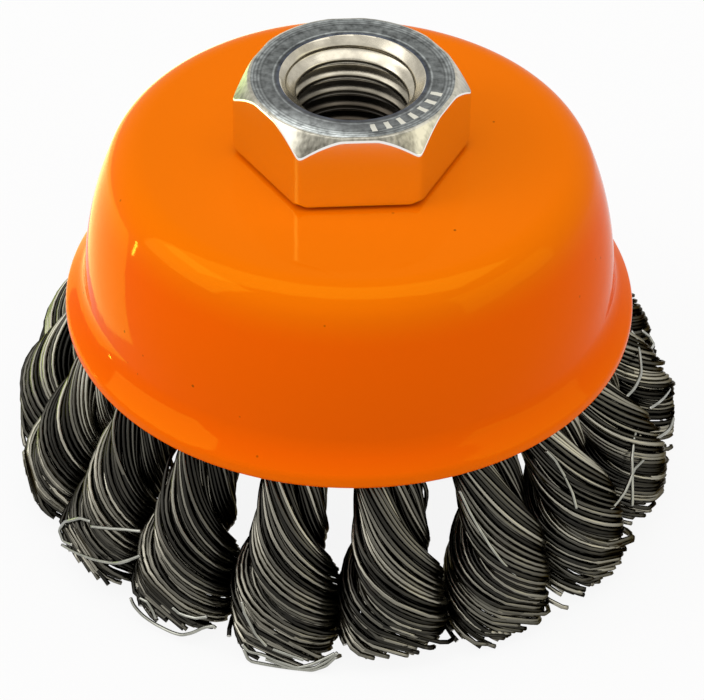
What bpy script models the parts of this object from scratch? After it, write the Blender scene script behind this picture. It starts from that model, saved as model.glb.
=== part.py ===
"""A 75 mm knotted wire cup brush for an angle grinder, standing on its wire tips.

A threaded hexagon nut is riveted through the crown of a pressed steel cup and through
the pan inside it. The pan's rim has a ring of holes. A bundle of wires is folded through
each hole and over the pan's edge, and its two legs are twisted together into a knot.

Metres, +Z up. The origin is on the brush's axis, in the plane of the wire tips.
The front, azimuth 0, is -Y.
"""

from math import asin, atan2, cos, pi, radians, sin, sqrt, tan

import bmesh
import bpy
from mathutils import Matrix, Vector

MM = 0.001
SEAT_GAP = 0.3 * MM
CUT_MARGIN = 0.3 * MM
MERGE_DISTANCE = 1e-4 * MM
CREASE_ANGLE = radians(35)
SMALL_SHARE = 1e-4

# Whole brush
TIP_PLANE = 0.0
TRIM_LENGTH = 20.9 * MM
CUP_HEIGHT = 21.0 * MM

# Pressed cup, along its outer skin from the crown to the rim
CUP_SHEET = 1.1 * MM
CROWN_RADIUS = 22.2 * MM
SHOULDER_RADIUS = 4.2 * MM
SHOULDER_TURN = radians(68)
WALL_RADIUS = 38.0 * MM
WALL_TURN = radians(17)
FOOT_RADIUS = 2.2 * MM
FLARE_TURN = radians(37)
FLARE_LENGTH = 2.0 * MM
RIM_RADIUS = 1.2 * MM
RIM_SKIRT = 1.1 * MM
SHOULDER_FACETS = 3
CUP_BEND_FACETS = 2
CUP_STEPS = 36

# Hexagon nut with its riveted shank
HEX_SIDES = 6
HEX_ACROSS_FLATS = 22.0 * MM
HEX_HEIGHT = 9.1 * MM
HEX_TURN = radians(4.4)
HEX_FACE_MARGIN = 0.5 * MM
HEX_CHAMFER_FALL = radians(66)
THREAD_RADIUS = 7.0 * MM
THREAD_DEPTH = 1.08 * MM
COUNTERSINK_MARGIN = 0.7 * MM
SHANK_WALL = 1.1 * MM
RIVET_LIP_WIDTH = 1.4 * MM
RIVET_LIP_HEIGHT = 1.3 * MM
RIVET_LIP_SOFTENING = 0.45 * MM
NUT_STEPS = 30

# Pan that holds the knots
PAN_SHEET = 1.5 * MM
PAN_BEND_RADIUS = 1.5 * MM
PAN_RIVET_ROOM = 1.9 * MM
PAN_FLANGE_RISE = radians(31)
PAN_HOLE_MARGIN = 0.4 * MM
PAN_WEB = 1.4 * MM
PAN_NECK_FACETS = 2
PAN_BEND_FACETS = 3
PAN_STEPS = 36
PAN_HOLE_STEPS = 8
PAN_DRILL_LENGTH = 6.0 * MM

# Twisted wire knots
KNOT_COUNT = 18
FIRST_KNOT = radians(-10)
LEG_RADIUS = 2.0 * MM
LEG_CLOSING = 0.12
PLY_GAP = 0.4 * MM
PLY_DEPTH = 0.54
PLY_WIDTH = 0.84
LAY_THICKENING = 1.05
PLY_ARC = radians(112)
PLY_FLAT = 0.45
KNOT_GAP = 0.3 * MM
SWELL_START = 0.15
EVEN_TURNS = 0.6
END_TURNS = 0.45
KNOT_HEIGHT_AT_PAN = 7.2 * MM
KNOT_WALL_GAP = 1.0 * MM
KNOT_RIM_GAP = 0.4 * MM
TIP_SPLAY = 2.25 * MM
TOP_REACH = 0.3
TIP_REACH = 0.4
TIP_LEAN = radians(2.5)
ARC_CORNERS = 5
FLAT_CORNERS = 2
LEG_RINGS = 11
RING_CROWDING = 1.3
FOLD_RINGS = 4

# Heights and radii that follow
RIM_HEIGHT = TIP_PLANE + TRIM_LENGTH
CROWN_HEIGHT = RIM_HEIGHT + CUP_HEIGHT
HEX_SEAT = CROWN_HEIGHT + SEAT_GAP
HEX_TOP = CROWN_HEIGHT + HEX_HEIGHT
HEX_CORNER_RADIUS = HEX_ACROSS_FLATS / 2 / cos(pi / HEX_SIDES)
PAN_HUB_TOP = CROWN_HEIGHT - CUP_SHEET - SEAT_GAP
LIP_TOP = PAN_HUB_TOP - PAN_SHEET - SEAT_GAP
LIP_BOTTOM = LIP_TOP - RIVET_LIP_HEIGHT
SHANK_RADIUS = THREAD_RADIUS + SHANK_WALL
SHANK_HOLE_RADIUS = SHANK_RADIUS + SEAT_GAP
LIP_RADIUS = SHANK_RADIUS + RIVET_LIP_WIDTH
PAN_HOLE_RADIUS = LEG_RADIUS + SEAT_GAP
LEG_SPACING = 2 * PAN_HOLE_RADIUS + PAN_WEB
PLY_CORNERS = ARC_CORNERS + FLAT_CORNERS

# The pan's flange in (radius, height), and the rope's waist, where each of its oval strands
# holds one leg, a little thickened because its wires lie slantwise
FLANGE_ALONG = Vector((cos(PAN_FLANGE_RISE), sin(PAN_FLANGE_RISE)))
FLANGE_UP = Vector((-sin(PAN_FLANGE_RISE), cos(PAN_FLANGE_RISE)))
WAIST_RADIUS = LAY_THICKENING * LEG_RADIUS / sqrt(PLY_DEPTH * PLY_WIDTH)


def clear_scene():
    """Removes the objects that a new file starts with."""
    for obj in list(bpy.data.objects):
        bpy.data.objects.remove(obj, do_unlink=True)


def make_material(name, colour, roughness, metallic):
    """One Principled finish."""
    material = bpy.data.materials.new(name)
    material.use_nodes = True
    shader = material.node_tree.nodes["Principled BSDF"]
    shader.inputs["Base Color"].default_value = (*colour, 1.0)
    shader.inputs["Roughness"].default_value = roughness
    shader.inputs["Metallic"].default_value = metallic
    material.diffuse_color = (*colour, 1.0)
    return material


def add_object(name, bm, material=None):
    """Puts a bmesh into the scene as a smooth-shaded object with its faces pointing out."""
    bmesh.ops.recalc_face_normals(bm, faces=bm.faces)
    mesh = bpy.data.meshes.new(name)
    bm.to_mesh(mesh)
    bm.free()
    mesh.shade_smooth()
    mesh.set_sharp_from_angle(angle=CREASE_ANGLE)
    obj = bpy.data.objects.new(name, mesh)
    bpy.context.collection.objects.link(obj)
    if material:
        mesh.materials.append(material)
    return obj


def as_cutter(obj):
    """Marks a helper that only shapes another piece."""
    obj.hide_render = True
    obj.display_type = "WIRE"
    return obj


def add_boolean(obj, helper, operation):
    """One exact Boolean with a helper."""
    modifier = obj.modifiers.new(helper.name, "BOOLEAN")
    modifier.object = as_cutter(helper)
    modifier.operation = operation
    modifier.solver = "EXACT"


def turned(name, section, steps, material=None):
    """A closed section of (radius, height) points, turned once round the Z axis."""
    bm = bmesh.new()
    corners = [bm.verts.new((r, 0.0, z)) for r, z in section]
    edges = [bm.edges.new((a, b)) for a, b in zip(corners, corners[1:] + corners[:1])]
    bmesh.ops.spin(
        bm,
        geom=corners + edges,
        axis=(0, 0, 1),
        cent=(0, 0, 0),
        angle=2 * pi,
        steps=steps,
        use_merge=True,
    )
    bmesh.ops.remove_doubles(bm, verts=bm.verts, dist=MERGE_DISTANCE)
    return add_object(name, bm, material)


class SheetLine:
    """A line in (radius, height) drawn by straight runs and bends.

    The fall is the line's angle below the horizontal, looking outwards. Each point keeps
    its own fall, so that a skin at any distance from the line is exact.
    """

    def __init__(self, radius, height, fall=0.0):
        self.radius, self.height, self.fall = radius, height, fall
        self.points = [(radius, height, fall)]

    def keep(self):
        self.points.append((self.radius, self.height, self.fall))

    def run(self, length):
        self.radius += length * cos(self.fall)
        self.height -= length * sin(self.fall)
        self.keep()

    def bend(self, bend_radius, turn, parts):
        """Turns down by a positive angle, or up by a negative one, in a few equal parts."""
        side = 1 if turn > 0 else -1
        for _ in range(parts):
            after = self.fall + turn / parts
            self.radius += side * bend_radius * (sin(after) - sin(self.fall))
            self.height -= side * bend_radius * (cos(self.fall) - cos(after))
            self.fall = after
            self.keep()

    def skin(self, distance):
        """The line moved sideways: a positive distance is above it, on its outer side."""
        return [
            (r + distance * sin(fall), z + distance * cos(fall))
            for r, z, fall in self.points
        ]


def sheet_section(line, above, below):
    """The closed section of a sheet that lies from above its line to below it."""
    return line.skin(above) + line.skin(-below)[::-1]


def cup_line():
    """The cup's outer skin: flat crown, round shoulder, bulged wall, flared foot and rim."""
    line = SheetLine(SHANK_HOLE_RADIUS, CROWN_HEIGHT)
    line.run(CROWN_RADIUS - SHANK_HOLE_RADIUS)
    line.bend(SHOULDER_RADIUS, SHOULDER_TURN, SHOULDER_FACETS)
    line.bend(WALL_RADIUS, WALL_TURN, CUP_BEND_FACETS)
    foot_fall = SHOULDER_TURN + WALL_TURN
    flare_fall = foot_fall - FLARE_TURN
    below_wall = (
        FOOT_RADIUS * (cos(flare_fall) - cos(foot_fall))
        + FLARE_LENGTH * sin(flare_fall)
        + RIM_RADIUS * cos(flare_fall)
        + RIM_SKIRT
    )
    line.run((line.height - RIM_HEIGHT - below_wall) / sin(foot_fall))
    line.bend(FOOT_RADIUS, -FLARE_TURN, CUP_BEND_FACETS)
    line.run(FLARE_LENGTH)
    line.bend(RIM_RADIUS, pi / 2 - flare_fall, CUP_BEND_FACETS)
    line.run(RIM_SKIRT)
    return line


def cup_inner_radius(height):
    """The radius of the cup's inner skin at a height on its wall."""
    skin = cup_line().skin(-CUP_SHEET)
    for (r0, z0), (r1, z1) in zip(skin, skin[1:]):
        if z1 <= height < z0:
            return r0 + (r1 - r0) * (z0 - height) / (z0 - z1)
    return skin[-1][0]


def make_cup(material):
    """The painted cup, pressed from one sheet."""
    return turned("cup_shell", sheet_section(cup_line(), 0.0, CUP_SHEET), CUP_STEPS, material)


def hex_barrel():
    """A turned barrel that cuts the chamfers on the hexagon's corners, top and bottom."""
    face_radius = HEX_ACROSS_FLATS / 2 + HEX_FACE_MARGIN
    corner = HEX_CORNER_RADIUS + CUT_MARGIN
    drop = (corner - face_radius) * tan(HEX_CHAMFER_FALL)
    section = [
        (0.0, HEX_SEAT),
        (face_radius, HEX_SEAT),
        (corner, HEX_SEAT + drop),
        (corner, HEX_TOP - drop),
        (face_radius, HEX_TOP),
        (0.0, HEX_TOP),
    ]
    return turned("hex_barrel", section, NUT_STEPS)


def shank():
    """The nut's shank through cup and pan, with its end rolled out under the pan."""
    inside_hexagon = (HEX_SEAT + HEX_TOP) / 2
    section = [
        (0.0, inside_hexagon),
        (SHANK_RADIUS, inside_hexagon),
        (SHANK_RADIUS, LIP_TOP),
        (LIP_RADIUS, LIP_TOP),
        (LIP_RADIUS, LIP_BOTTOM + RIVET_LIP_SOFTENING),
        (LIP_RADIUS - RIVET_LIP_SOFTENING, LIP_BOTTOM),
        (0.0, LIP_BOTTOM),
    ]
    return turned("shank", section, NUT_STEPS)


def bore():
    """The thread's bore at its minor radius, countersunk at both ends."""
    minor_radius = THREAD_RADIUS - THREAD_DEPTH
    sink = THREAD_DEPTH + COUNTERSINK_MARGIN
    mouth_radius = minor_radius + sink + CUT_MARGIN
    section = [
        (0.0, HEX_TOP + CUT_MARGIN),
        (mouth_radius, HEX_TOP + CUT_MARGIN),
        (minor_radius, HEX_TOP - sink),
        (minor_radius, LIP_BOTTOM + sink),
        (mouth_radius, LIP_BOTTOM - CUT_MARGIN),
        (0.0, LIP_BOTTOM - CUT_MARGIN),
    ]
    return turned("bore", section, NUT_STEPS)


def make_nut(material):
    """The hexagon nut: bar stock, chamfered, with its shank riveted over the pan."""
    bm = bmesh.new()
    bmesh.ops.create_cone(
        bm,
        cap_ends=True,
        segments=HEX_SIDES,
        radius1=HEX_CORNER_RADIUS,
        radius2=HEX_CORNER_RADIUS,
        depth=HEX_TOP - HEX_SEAT + CUT_MARGIN,
        matrix=Matrix.Translation((0, 0, (HEX_SEAT + HEX_TOP) / 2))
        @ Matrix.Rotation(HEX_TURN + pi / HEX_SIDES, 4, "Z"),
    )
    nut = add_object("arbor_nut", bm, material)
    add_boolean(nut, hex_barrel(), "INTERSECT")
    add_boolean(nut, shank(), "UNION")
    add_boolean(nut, bore(), "DIFFERENCE")
    return nut


def web_centre():
    """Where a knot's axis crosses the pan's flange, midway between the knot's two legs.

    It lies as far out as the cup's wall allows the outer leg, and as the cup's rim allows
    the rope, which runs on square to the flange and passes inside the rim.
    """
    height = RIM_HEIGHT + KNOT_HEIGHT_AT_PAN
    outer_leg = (LEG_SPACING / 2 + LEG_RADIUS) * FLANGE_ALONG
    by_wall = cup_inner_radius(height + outer_leg.y) - KNOT_WALL_GAP - outer_leg.x
    rope_at_rim = (WAIST_RADIUS + PLY_GAP / 2 + KNOT_RIM_GAP) / cos(PAN_FLANGE_RISE)
    lean = KNOT_HEIGHT_AT_PAN * tan(PAN_FLANGE_RISE)
    by_rim = cup_inner_radius(RIM_HEIGHT) - rope_at_rim - lean
    return Vector((min(by_wall, by_rim), height))


def pan_line():
    """The pan's middle line: flat hub, falling neck, and the U-bend to the coned flange.

    The hub leaves room to roll the nut's lip. The neck is the straight line that touches
    both bends, whose centres are the hub's below its edge and the flange's above its start.
    """
    inside_web = LEG_SPACING / 2 + PAN_HOLE_RADIUS + PAN_HOLE_MARGIN
    flange_start = web_centre() - FLANGE_ALONG * inside_web
    hub_edge = Vector((LIP_RADIUS + PAN_RIVET_ROOM, PAN_HUB_TOP - PAN_SHEET / 2))
    apart = flange_start + FLANGE_UP * PAN_BEND_RADIUS - hub_edge + Vector((0, PAN_BEND_RADIUS))
    neck_fall = atan2(-apart.y, apart.x) + asin(2 * PAN_BEND_RADIUS / apart.length)
    line = SheetLine(SHANK_HOLE_RADIUS, hub_edge.y)
    line.run(hub_edge.x - SHANK_HOLE_RADIUS)
    line.bend(PAN_BEND_RADIUS, neck_fall, PAN_NECK_FACETS)
    line.run(sqrt(apart.length_squared - (2 * PAN_BEND_RADIUS) ** 2))
    line.bend(PAN_BEND_RADIUS, -neck_fall - PAN_FLANGE_RISE, PAN_BEND_FACETS)
    line.run(inside_web + PAN_WEB / 2)
    return line


def knot_azimuths():
    """The angle of each knot round the brush, from the front towards +X."""
    return [FIRST_KNOT + 2 * pi * k / KNOT_COUNT for k in range(KNOT_COUNT)]


def pan_holes():
    """One drill for each knot's inner leg, square to the coned flange."""
    centre = web_centre() - FLANGE_ALONG * LEG_SPACING / 2
    corner_radius = PAN_HOLE_RADIUS / cos(pi / PAN_HOLE_STEPS)
    bm = bmesh.new()
    for azimuth in knot_azimuths():
        stand = Matrix.Rotation(azimuth, 4, "Z") @ Matrix.Translation((0, -centre.x, centre.y))
        bmesh.ops.create_cone(
            bm,
            cap_ends=True,
            segments=PAN_HOLE_STEPS,
            radius1=corner_radius,
            radius2=corner_radius,
            depth=PAN_DRILL_LENGTH,
            matrix=stand @ Matrix.Rotation(-PAN_FLANGE_RISE, 4, "X"),
        )
    return add_object("pan_holes", bm)


def make_pan(material):
    """The pressed pan that carries the ring of knots."""
    pan = turned(
        "knot_holder",
        sheet_section(pan_line(), PAN_SHEET / 2, PAN_SHEET / 2),
        PAN_STEPS,
        material,
    )
    add_boolean(pan, pan_holes(), "DIFFERENCE")
    return pan


def smooth(share):
    """Eases from 0 to 1."""
    share = min(max(share, 0.0), 1.0)
    return share * share * (3 - 2 * share)


def tip_axis_radius():
    """How far out the knots end: a little past the cup's rim."""
    return cup_inner_radius(RIM_HEIGHT) + TIP_SPLAY


def axis_handles():
    """The four points, in (radius, height), of the curve that a knot's axis follows."""
    top = web_centre() - FLANGE_UP * PAN_SHEET / 2
    tip = Vector((tip_axis_radius(), TIP_PLANE))
    span = (tip - top).length
    top_handle = top - FLANGE_UP * span * TOP_REACH
    tip_handle = tip + Vector((-sin(TIP_LEAN), cos(TIP_LEAN))) * span * TIP_REACH
    return top, top_handle, tip_handle, tip


def axis_point(share):
    """A point on the knot's axis, as a cubic curve: share 0 is at the pan and 1 at the tip."""
    a, b, c, d = axis_handles()
    rest = 1 - share
    return rest**3 * a + 3 * rest**2 * share * b + 3 * rest * share**2 * c + share**3 * d


def rope_radius(share):
    """The knot swells from its waist, inside the rim, until it meets its neighbours."""
    tip_radius = tip_axis_radius() * sin(pi / KNOT_COUNT) - PLY_GAP / 2 - KNOT_GAP / 2
    swell = smooth((share - SWELL_START) / (1 - SWELL_START))
    return WAIST_RADIUS + (tip_radius - WAIST_RADIUS) * swell


def twist(share):
    """The knot's turn, which gets quicker towards the tip."""
    return 2 * pi * (EVEN_TURNS * share + END_TURNS * share**3)


def round_leg():
    """The (out, beside) corners of a leg where it passes the pan: a circle on its own."""
    middle = (ARC_CORNERS - 1) / 2
    corners = []
    for k in range(PLY_CORNERS):
        angle = 2 * pi * (k - middle) / PLY_CORNERS
        corners.append((LEG_SPACING / 2 + LEG_RADIUS * cos(angle), LEG_RADIUS * sin(angle)))
    return corners


def oval_strand(radius):
    """The (out, beside) corners of a leg in the twist: an oval, flat against the other leg.

    It touches the rope's round with its back, and a deep groove stays between both strands.
    """
    depth, width = PLY_DEPTH * radius, PLY_WIDTH * radius
    corners = []
    for k in range(ARC_CORNERS):
        angle = PLY_ARC * (2 * k / (ARC_CORNERS - 1) - 1)
        out = PLY_GAP / 2 + radius - depth + depth * cos(angle)
        corners.append((out, width * sin(angle)))
    corners.append((PLY_GAP / 2, PLY_FLAT * radius))
    corners.append((PLY_GAP / 2, -PLY_FLAT * radius))
    return corners


def axis_frame(share):
    """The knot's axis as a point and two directions: ahead along it, and outwards."""
    point = axis_point(share)
    ahead = (axis_point(share + SMALL_SHARE) - axis_point(share - SMALL_SHARE)).normalized()
    outwards = Vector((-ahead.y, ahead.x))
    return [Vector((0, -v.x, v.y)) for v in (point, ahead, outwards)]


def leg_ring(share, side):
    """The corners of one leg, side 1 or -1, across the knot's axis."""
    point, ahead, outwards = axis_frame(share)
    sideways = Vector((1, 0, 0))
    closed = smooth(share / LEG_CLOSING)
    turn = twist(share) * closed
    out = side * (cos(turn) * outwards + sin(turn) * sideways)
    beside = side * (cos(turn) * sideways - sin(turn) * outwards)
    ring = []
    for apart, joined in zip(round_leg(), oval_strand(rope_radius(share))):
        x = apart[0] + (joined[0] - apart[0]) * closed
        y = apart[1] + (joined[1] - apart[1]) * closed
        ring.append(point + x * out + y * beside)
    if share == 1:
        ring = [corner - ahead * (corner.z - TIP_PLANE) / ahead.z for corner in ring]
    return ring


def leg_rings(side):
    """The rings of one leg from the pan to the tip, closer together where it twists most."""
    rings = []
    for k in range(LEG_RINGS + 1):
        share = 1 - (1 - k / LEG_RINGS) ** RING_CROWDING
        rings.append(leg_ring(share, side))
    return rings


def fold_rings():
    """The rings of the fold over the pan's web, from the inner leg to the outer one."""
    web = web_centre() + FLANGE_UP * PAN_SHEET / 2
    sideways = Vector((1, 0, 0))
    rings = []
    for k in range(FOLD_RINGS + 1):
        angle = pi * k / FOLD_RINGS
        out = -cos(angle) * FLANGE_ALONG + sin(angle) * FLANGE_UP
        outwards = Vector((0, -out.x, out.y))
        centre = Vector((0, -web.x, web.y))
        rings.append([centre + x * outwards - y * sideways for x, y in round_leg()])
    return rings


def mirrored(ring):
    """The same corners in the opposite order, with the arc's still first."""
    return ring[:ARC_CORNERS][::-1] + ring[ARC_CORNERS:][::-1]


def knot_rings():
    """All the rings of one folded bundle: up its inner leg, over the fold, down the outer."""
    over = fold_rings()
    down = [mirrored(ring) for ring in leg_rings(1)]
    return leg_rings(-1)[::-1] + over + down


def knot_mesh(material):
    """One knot at azimuth 0: a single tube with its ends trimmed in the tip plane.

    Each band is split so that the round side's edges stand along the rope, and so that the
    flat side, which is a twisted strip, hollows away from the other leg.
    """
    bm = bmesh.new()
    loops = [[bm.verts.new(corner) for corner in ring] for ring in knot_rings()]
    for first, second in zip(loops, loops[1:]):
        for k in range(PLY_CORNERS):
            after = (k + 1) % PLY_CORNERS
            if k == ARC_CORNERS:
                bm.faces.new((first[k], first[after], second[k]))
                bm.faces.new((first[after], second[after], second[k]))
            else:
                bm.faces.new((first[k], first[after], second[after]))
                bm.faces.new((first[k], second[after], second[k]))
    bm.faces.new(loops[0])
    bm.faces.new(loops[-1])
    return add_object("wire_knot_01", bm, material)


def make_knots(material):
    """The ring of knots, all alike, each turned to its own hole."""
    first = knot_mesh(material)
    for number, azimuth in enumerate(knot_azimuths(), start=1):
        if number == 1:
            knot = first
        else:
            knot = bpy.data.objects.new(f"wire_knot_{number:02d}", first.data)
            bpy.context.collection.objects.link(knot)
        knot.rotation_euler.z = azimuth


def main():
    clear_scene()
    paint = make_material("orange_enamel", (0.95, 0.21, 0.0), 0.25, 0.0)
    zinc = make_material("zinc_plated_steel", (0.62, 0.62, 0.60), 0.28, 1.0)
    bare_steel = make_material("pressed_steel", (0.35, 0.35, 0.36), 0.45, 1.0)
    wire = make_material("hard_drawn_wire", (0.20, 0.19, 0.18), 0.38, 1.0)
    make_cup(paint)
    make_nut(zinc)
    make_pan(bare_steel)
    make_knots(wire)


main()
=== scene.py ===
"""Dresses the knotted wire cup brush: its enamel, its plated nut and its bundles of wire.

The brush stands on its wire tips, in metres, +Z up, with its front towards -Y.
"""

import bmesh
import bpy
import numpy as np
from mathutils import Matrix, Vector


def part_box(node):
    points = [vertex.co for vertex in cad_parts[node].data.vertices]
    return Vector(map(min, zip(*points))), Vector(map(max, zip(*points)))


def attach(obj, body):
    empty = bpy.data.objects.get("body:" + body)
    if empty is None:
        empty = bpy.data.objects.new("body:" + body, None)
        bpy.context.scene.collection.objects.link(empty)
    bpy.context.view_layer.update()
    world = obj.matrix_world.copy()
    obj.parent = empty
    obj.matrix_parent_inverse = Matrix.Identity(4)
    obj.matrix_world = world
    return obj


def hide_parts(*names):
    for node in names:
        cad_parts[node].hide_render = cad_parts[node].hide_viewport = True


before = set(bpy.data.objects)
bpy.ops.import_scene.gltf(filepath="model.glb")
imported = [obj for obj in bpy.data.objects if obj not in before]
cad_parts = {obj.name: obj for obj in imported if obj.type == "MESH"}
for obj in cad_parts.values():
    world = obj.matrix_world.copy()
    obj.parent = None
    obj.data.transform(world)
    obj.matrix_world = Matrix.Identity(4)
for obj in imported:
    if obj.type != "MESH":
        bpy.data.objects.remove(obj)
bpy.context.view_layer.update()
MM = 0.001

# The camera stands in front of the brush and about a hand's length above it. It looks down
# 40 degrees through a long lens, with the nut near the top of the picture.
CAMERA_PLACE = (0.0, -289.26 * MM, 256.83 * MM)
CAMERA_PITCH = np.radians(40.05)
CAMERA_YAW = np.radians(0.08)
CAMERA_ROLL = np.radians(0.94)
CAMERA_LENS = 173.1


def camera_axes():
    """The camera's right, up and back directions.

    Ahead is level and turned by the yaw, then tipped down by the pitch. Right is level and
    square to it, and up is square to both. The roll turns right and up about ahead.
    """
    level = np.array([np.sin(CAMERA_YAW), np.cos(CAMERA_YAW), 0.0])
    ahead = level * np.cos(CAMERA_PITCH) - np.array([0.0, 0.0, np.sin(CAMERA_PITCH)])
    right = np.array([np.cos(CAMERA_YAW), -np.sin(CAMERA_YAW), 0.0])
    up = np.cross(right, ahead)
    turned_right = np.cos(CAMERA_ROLL) * right + np.sin(CAMERA_ROLL) * up
    turned_up = np.cos(CAMERA_ROLL) * up - np.sin(CAMERA_ROLL) * right
    return np.stack([turned_right, turned_up, -ahead], axis=1)


camera_data = bpy.data.cameras.new("camera")
camera_data.lens = CAMERA_LENS
camera_data.clip_start = 10 * MM
camera = bpy.data.objects.new("camera", camera_data)
bpy.context.collection.objects.link(camera)
camera.matrix_world = Matrix.Translation(CAMERA_PLACE) @ Matrix(camera_axes()).to_4x4()
bpy.context.scene.camera = camera

# The cup is one pressed sheet of steel: a flat crown, a round shoulder, a bulged wall and a
# flared foot with a short skirt. It is enamelled orange all over, thick and very glossy, and
# lies pinched between the nut's hexagon and the pan inside it.
CUP_SHEET = 1.1 * MM
CUP_HOLE_RADIUS = 8.4 * MM
CROWN_RADIUS = 22.2 * MM
SHOULDER_RADIUS = 4.2 * MM
SHOULDER_TURN = np.radians(68)
WALL_RADIUS = 38.0 * MM
WALL_TURN = np.radians(17)
FOOT_RADIUS = 3.8 * MM
FLARE_TURN = np.radians(37)
FLARE_LENGTH = 1.4 * MM
RIM_RADIUS = 1.2 * MM
RIM_SKIRT = 1.1 * MM
CUP_COLUMNS = 240
FOOT_ORANGE = (0.91, 0.125, 0.0, 1)
# The wall's redder, darker orange is painted shade: the wall faces away from the light.
WALL_SHADE_ORANGE = (0.86, 0.09, 0.0, 1)
WALL_SHARES = (0.17, 0.72)
CROWN_ORANGE = (0.89, 0.158, 0.0, 1)
DUST_BROWN = (0.3, 0.04, 0.0, 1)
ENAMEL_GLOSS = (30.0, 23.0, 0.8, 1)
RIM_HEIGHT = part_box("cup_shell")[0].z
CROWN_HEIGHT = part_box("cup_shell")[1].z


def bent_line(start, stretches):
    """A line in (radius, height), with the angle that it falls at each of its points.

    Each stretch is (size, turn, parts). With no turn it is a straight run of that length.
    With a turn it is an arc of that radius, down for a positive turn and up for a negative
    one: with the fall going from f0 to f, the radius grows by R(sin f - sin f0) and the
    height drops by R(cos f0 - cos f), with the sign of the turn.
    """
    radius, height, fall = np.array([start[0]]), np.array([start[1]]), np.array([0.0])
    for size, turn, parts in stretches:
        share = np.arange(1, parts + 1) / parts
        if turn:
            falls = fall[-1] + turn * share
            side = np.sign(turn) * size
            radii = radius[-1] + side * (np.sin(falls) - np.sin(fall[-1]))
            heights = height[-1] - side * (np.cos(fall[-1]) - np.cos(falls))
        else:
            falls = np.full(parts, fall[-1])
            radii = radius[-1] + size * share * np.cos(fall[-1])
            heights = height[-1] - size * share * np.sin(fall[-1])
        radius, height = np.append(radius, radii), np.append(height, heights)
        fall = np.append(fall, falls)
    return radius, height, fall


def cup_skin():
    """The cup's outer skin from its hole to the end of its skirt."""
    foot_fall = SHOULDER_TURN + WALL_TURN
    flare_fall = foot_fall - FLARE_TURN
    skirt = RIM_SKIRT - CUP_SHEET / 2
    wall_top = (
        CROWN_HEIGHT
        - SHOULDER_RADIUS * (1 - np.cos(SHOULDER_TURN))
        - WALL_RADIUS * (np.cos(SHOULDER_TURN) - np.cos(foot_fall))
    )
    below_wall = (
        FOOT_RADIUS * (np.cos(flare_fall) - np.cos(foot_fall))
        + FLARE_LENGTH * np.sin(flare_fall)
        + RIM_RADIUS * np.cos(flare_fall)
        + RIM_SKIRT
    )
    stretches = [
        (CROWN_RADIUS - CUP_HOLE_RADIUS, 0.0, 6),
        (SHOULDER_RADIUS, SHOULDER_TURN, 18),
        (WALL_RADIUS, WALL_TURN, 14),
        ((wall_top - RIM_HEIGHT - below_wall) / np.sin(foot_fall), 0.0, 6),
        (FOOT_RADIUS, -FLARE_TURN, 10),
        (FLARE_LENGTH, 0.0, 3),
        (RIM_RADIUS, np.pi / 2 - flare_fall, 7),
        (skirt, 0.0, 2),
    ]
    return bent_line((CUP_HOLE_RADIUS, CROWN_HEIGHT), stretches)


def sheet_profile(radius, height, fall, thickness):
    """The closed outline of a sheet below a line, with a half-round cut edge at its end.

    The inner skin is the line moved by the thickness square to its fall, and the edge is
    half a circle between the ends of both skins.
    """
    inner_radius = radius - thickness * np.sin(fall)
    inner_height = height - thickness * np.cos(fall)
    turn = fall[-1] - np.pi / 2 + np.linspace(0, np.pi, 9)[1:-1]
    edge_radius = (radius[-1] + inner_radius[-1]) / 2 + thickness / 2 * np.cos(turn)
    edge_height = (height[-1] + inner_height[-1]) / 2 - thickness / 2 * np.sin(turn)
    return (
        np.concatenate([radius, edge_radius, inner_radius[::-1]]),
        np.concatenate([height, edge_height, inner_height[::-1]]),
    )


def turned_points(radius, height, columns):
    """A profile turned round the axis: (r cos a, r sin a, z) for each angle a."""
    angle = np.linspace(0, 2 * np.pi, columns, endpoint=False)
    shape = (len(radius), columns)
    z = np.broadcast_to(np.asarray(height)[:, None], shape)
    return np.stack([np.outer(radius, np.cos(angle)), np.outer(radius, np.sin(angle)), z], axis=-1)


def grid_quads(rows, columns, closed_rows, closed_columns):
    """The corners of each quad of a grid, row by row, closed round either way or not."""
    row = np.arange(rows if closed_rows else rows - 1)[:, None]
    column = np.arange(columns if closed_columns else columns - 1)[None, :]
    below, beside = (row + 1) % rows, (column + 1) % columns
    corners = [row * columns + column, below * columns + column]
    corners += [below * columns + beside, row * columns + beside]
    return np.stack(np.broadcast_arrays(*corners), axis=-1).reshape(-1, 4)


def add_piece(name, points, quads, materials):
    """Puts points and quads into a mesh that rides on the brush's one body."""
    mesh = bpy.data.meshes.new(name)
    mesh.from_pydata(points.reshape(-1, 3), [], quads)
    for material in materials:
        mesh.materials.append(material)
    mesh.shade_smooth()
    piece = bpy.data.objects.new(name, mesh)
    bpy.context.collection.objects.link(piece)
    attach(piece, "root")
    return piece


def new_finish(name, **values):
    """A Principled finish with these values on its own sockets."""
    material = bpy.data.materials.new(name)
    material.use_nodes = True
    shader = material.node_tree.nodes["Principled BSDF"]
    for socket, value in values.items():
        shader.inputs[socket.replace("_", " ")].default_value = value
    return material


def object_place(tree):
    """The place on the piece, in the brush's own coordinates."""
    return tree.nodes.new("ShaderNodeTexCoord").outputs["Object"]


def feed(tree, socket, value):
    """Links another node's output to a socket, or sets the socket to a plain value."""
    if isinstance(value, bpy.types.NodeSocket):
        tree.links.new(value, socket)
    else:
        socket.default_value = value


def maths(tree, operation, *values):
    """One sum, product or comparison of numbers."""
    node = tree.nodes.new("ShaderNodeMath")
    node.operation = operation
    for socket, value in zip(node.inputs, values):
        feed(tree, socket, value)
    return node.outputs[0]


def split(tree, place):
    """The X, Y and Z of a place."""
    node = tree.nodes.new("ShaderNodeSeparateXYZ")
    tree.links.new(place, node.inputs[0])
    return node.outputs


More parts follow.
